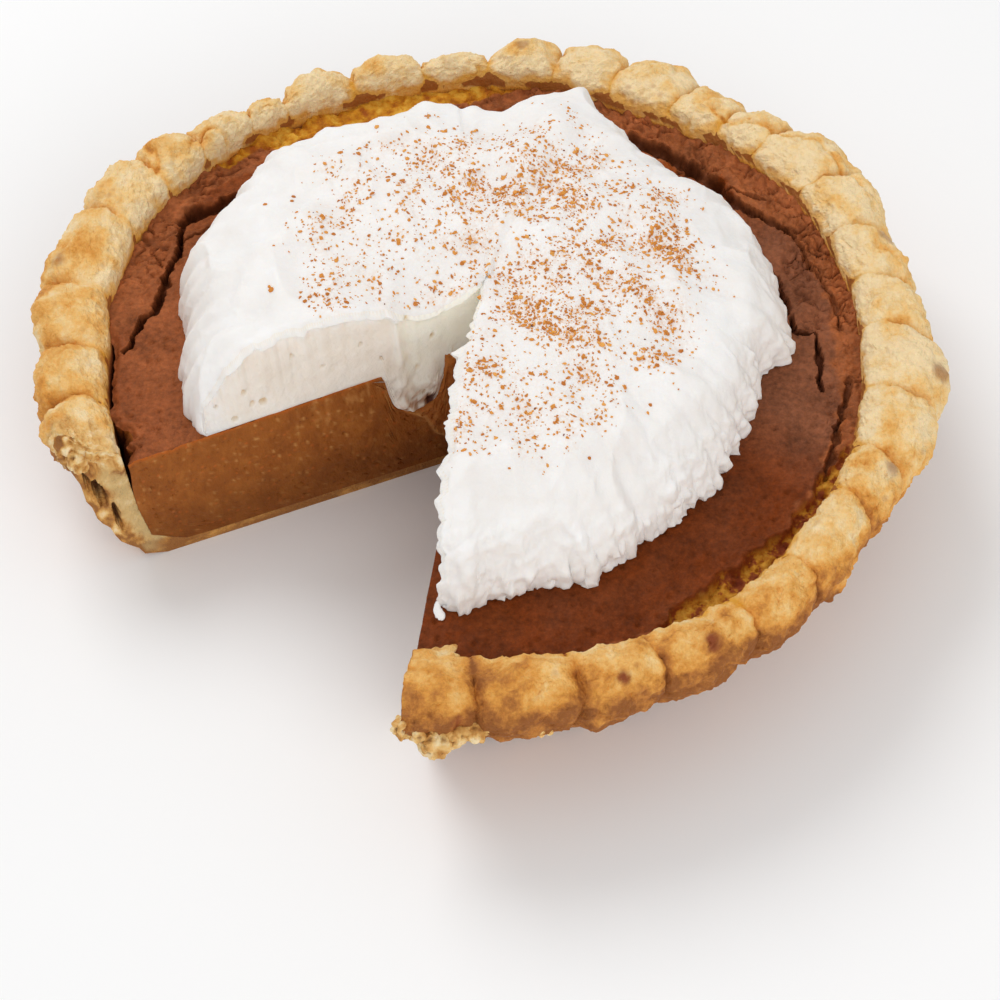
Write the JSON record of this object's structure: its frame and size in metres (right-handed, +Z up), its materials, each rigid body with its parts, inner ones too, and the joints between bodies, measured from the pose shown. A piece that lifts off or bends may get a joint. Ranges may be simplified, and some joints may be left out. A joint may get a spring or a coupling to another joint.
{
  "type": "pumpkin pie",
  "caption": "Deep pumpkin pie with a crimped crust, one slice missing, topped with a mound of whipped cream dusted with cinnamon, to be set on a plate or table.",
  "frame": {"origin": "middle of the pie's width and depth, on the surface it stands on", "axes": "+Z up out of the cream, +X to the right and -Y to the front of the view where the missing slice is at the front left"},
  "size_m": [0.25, 0.2526, 0.0736],
  "materials": {
    "baked_pastry": "matt baked pastry, golden and uneven",
    "pumpkin_custard": "baked custard, satin on top and moist where cut",
    "whipped_cream": "soft matt whipped cream"
  },
  "bodies": {
    "root": {"crust": "baked_pastry", "filling": "pumpkin_custard", "cream": "whipped_cream"}
  },
  "joints": []
}
